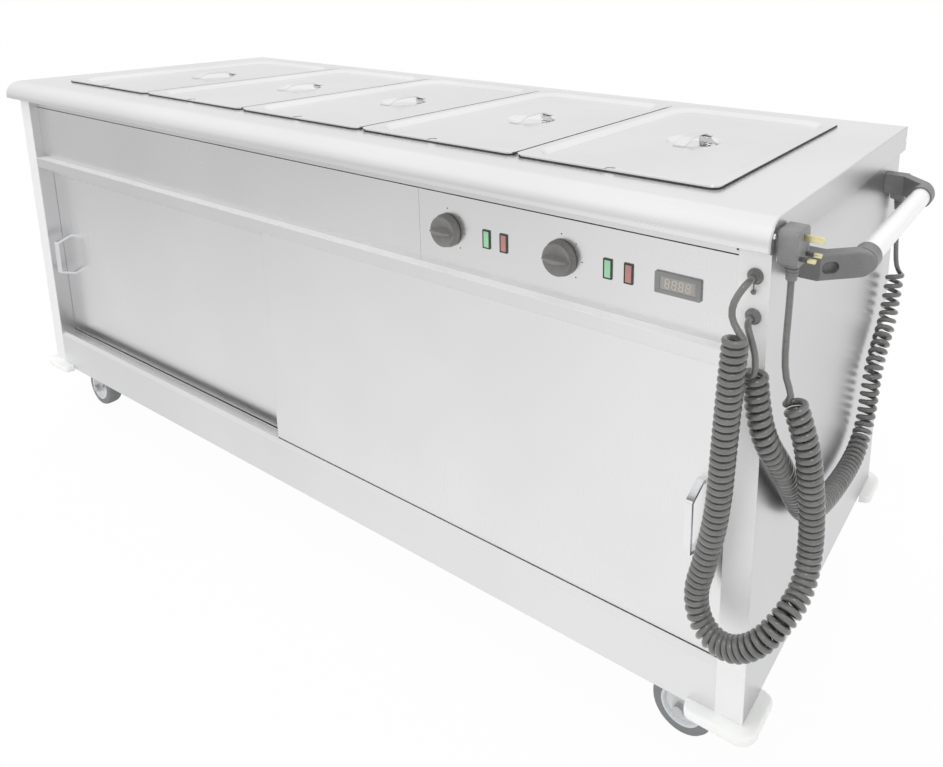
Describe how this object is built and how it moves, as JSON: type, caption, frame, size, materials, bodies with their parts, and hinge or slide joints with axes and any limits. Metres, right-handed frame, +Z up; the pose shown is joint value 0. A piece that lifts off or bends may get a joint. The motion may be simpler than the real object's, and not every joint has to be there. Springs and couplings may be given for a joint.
{
  "type": "mobile bain-marie servery",
  "caption": "Mobile heated servery: lidded food wells in a worktop over a hot cupboard with sliding doors, control panel, push handle, coiled supply cords and swivel castors.",
  "frame": {"origin": "on the floor under the middle of the object's box, cords and plugs left out", "axes": "+Z up, +X to the control and push-handle end, -Y to the front with the doors"},
  "size_m": [1.946, 0.7313, 0.858],
  "materials": {
    "stainless": "satin",
    "stainless_track": "satin",
    "bright_bar": "polished",
    "insulation": "matte",
    "heater": "matte",
    "black_plastic": "matte",
    "grey_plastic": "matte",
    "lens_green": "gloss",
    "lens_red": "gloss",
    "window": "gloss",
    "handle_plastic": "satin",
    "white_tube": "gloss",
    "bumper": "matte",
    "zinc_steel": "satin",
    "wheel": "matte",
    "cord": "satin",
    "plug": "satin"
  },
  "bodies": {
    "cabinet": {"worktop": "stainless", "well_tank": "stainless", "pan_support_bars": "stainless", "end_panel_left": "stainless", "end_panel_right": "stainless", "back_panel": "stainless", "bottom_plate": "stainless", "cupboard_deck": "stainless", "cupboard_liners": "stainless", "shelf": "stainless", "element_cover": "stainless", "top_rail": "stainless", "fascia_panel": "stainless", "control_panel": "stainless", "plug_clips": "stainless", "head_track": "stainless_track", "sill_track": "stainless_track", "plinth": "stainless_track", "insulation": "insulation", "heating_elements": "heater", "lamp_bezels": "black_plastic", "thermostats": "black_plastic", "display_bezel": "grey_plastic", "lamp_lenses_green": "lens_green", "lamp_lenses_red": "lens_red", "display_window": "window", "handle_arms": "handle_plastic", "handle_grip": "white_tube", "corner_bumpers": "bumper", "chassis_channels": "zinc_steel", "castor_plates": "zinc_steel", "castor_bolts": "zinc_steel", "cord_glands": "cord", "cord_1": "cord", "cord_2": "cord", "plugs": "plug"},
    "right_door": {"door_right": "stainless", "door_pull_right": "bright_bar"},
    "left_door": {"door_left": "stainless", "door_pull_left": "bright_bar"},
    "wells_knob": {"knob_wells": "grey_plastic"},
    "cupboard_knob": {"knob_cupboard": "grey_plastic"},
    "castor_fl": {"castor_fork_fl": "zinc_steel"},
    "wheel_fl": {"castor_wheel_fl": "wheel"},
    "castor_fr": {"castor_fork_fr": "zinc_steel"},
    "wheel_fr": {"castor_wheel_fr": "wheel"},
    "castor_rl": {"castor_fork_rl": "zinc_steel"},
    "wheel_rl": {"castor_wheel_rl": "wheel"},
    "castor_rr": {"castor_fork_rr": "zinc_steel"},
    "wheel_rr": {"castor_wheel_rr": "wheel"},
    "pan_1_tray": {"pan_1": "stainless"},
    "lid_1_cover": {"lid_1": "stainless"},
    "pan_2_tray": {"pan_2": "stainless"},
    "lid_2_cover": {"lid_2": "stainless"},
    "pan_3_tray": {"pan_3": "stainless"},
    "lid_3_cover": {"lid_3": "stainless"},
    "pan_4_tray": {"pan_4": "stainless"},
    "lid_4_cover": {"lid_4": "stainless"},
    "pan_5_tray": {"pan_5": "stainless"},
    "lid_5_cover": {"lid_5": "stainless"}
  },
  "joints": [
    {"name": "right_door_slide", "type": "slide", "parent": "cabinet", "child": "right_door", "axis": [1, 0, 0], "range_m": [-0.78, 0]},
    {"name": "left_door_slide", "type": "slide", "parent": "cabinet", "child": "left_door", "axis": [1, 0, 0], "range_m": [0, 0.78]},
    {"name": "wells_knob_turn", "type": "hinge", "parent": "cabinet", "child": "wells_knob", "pos_m": [0.374, -0.3, 0.733], "axis": [0, 1, 0], "range_deg": [0, 240]},
    {"name": "cupboard_knob_turn", "type": "hinge", "parent": "cabinet", "child": "cupboard_knob", "pos_m": [0.583, -0.3, 0.733], "axis": [0, 1, 0], "range_deg": [0, 240]},
    {"name": "castor_fl_swivel", "type": "hinge", "parent": "cabinet", "child": "castor_fl", "pos_m": [-0.871, -0.236, 0.125], "axis": [0, 0, 1], "continuous": true},
    {"name": "castor_fl_roll", "type": "hinge", "parent": "castor_fl", "child": "wheel_fl", "pos_m": [-0.908, -0.236, 0.05], "axis": [0, 1, 0], "continuous": true},
    {"name": "castor_fr_swivel", "type": "hinge", "parent": "cabinet", "child": "castor_fr", "pos_m": [0.805, -0.236, 0.125], "axis": [0, 0, 1], "continuous": true},
    {"name": "castor_fr_roll", "type": "hinge", "parent": "castor_fr", "child": "wheel_fr", "pos_m": [0.768, -0.236, 0.05], "axis": [0, 1, 0], "continuous": true},
    {"name": "castor_rl_swivel", "type": "hinge", "parent": "cabinet", "child": "castor_rl", "pos_m": [-0.871, 0.24, 0.125], "axis": [0, 0, 1], "continuous": true},
    {"name": "castor_rl_roll", "type": "hinge", "parent": "castor_rl", "child": "wheel_rl", "pos_m": [-0.908, 0.24, 0.05], "axis": [0, 1, 0], "continuous": true},
    {"name": "castor_rr_swivel", "type": "hinge", "parent": "cabinet", "child": "castor_rr", "pos_m": [0.805, 0.24, 0.125], "axis": [0, 0, 1], "continuous": true},
    {"name": "castor_rr_roll", "type": "hinge", "parent": "castor_rr", "child": "wheel_rr", "pos_m": [0.768, 0.24, 0.05], "axis": [0, 1, 0], "continuous": true},
    {"name": "pan_1_lift", "type": "slide", "parent": "cabinet", "child": "pan_1_tray", "axis": [0, 0, 1], "range_m": [0, 0.15]},
    {"name": "lid_1_lift", "type": "slide", "parent": "pan_1_tray", "child": "lid_1_cover", "axis": [0, 0, 1], "range_m": [0, 0.12]},
    {"name": "pan_2_lift", "type": "slide", "parent": "cabinet", "child": "pan_2_tray", "axis": [0, 0, 1], "range_m": [0, 0.15]},
    {"name": "lid_2_lift", "type": "slide", "parent": "pan_2_tray", "child": "lid_2_cover", "axis": [0, 0, 1], "range_m": [0, 0.12]},
    {"name": "pan_3_lift", "type": "slide", "parent": "cabinet", "child": "pan_3_tray", "axis": [0, 0, 1], "range_m": [0, 0.15]},
    {"name": "lid_3_lift", "type": "slide", "parent": "pan_3_tray", "child": "lid_3_cover", "axis": [0, 0, 1], "range_m": [0, 0.12]},
    {"name": "pan_4_lift", "type": "slide", "parent": "cabinet", "child": "pan_4_tray", "axis": [0, 0, 1], "range_m": [0, 0.15]},
    {"name": "lid_4_lift", "type": "slide", "parent": "pan_4_tray", "child": "lid_4_cover", "axis": [0, 0, 1], "range_m": [0, 0.12]},
    {"name": "pan_5_lift", "type": "slide", "parent": "cabinet", "child": "pan_5_tray", "axis": [0, 0, 1], "range_m": [0, 0.15]},
    {"name": "lid_5_lift", "type": "slide", "parent": "pan_5_tray", "child": "lid_5_cover", "axis": [0, 0, 1], "range_m": [0, 0.12]}
  ]
}
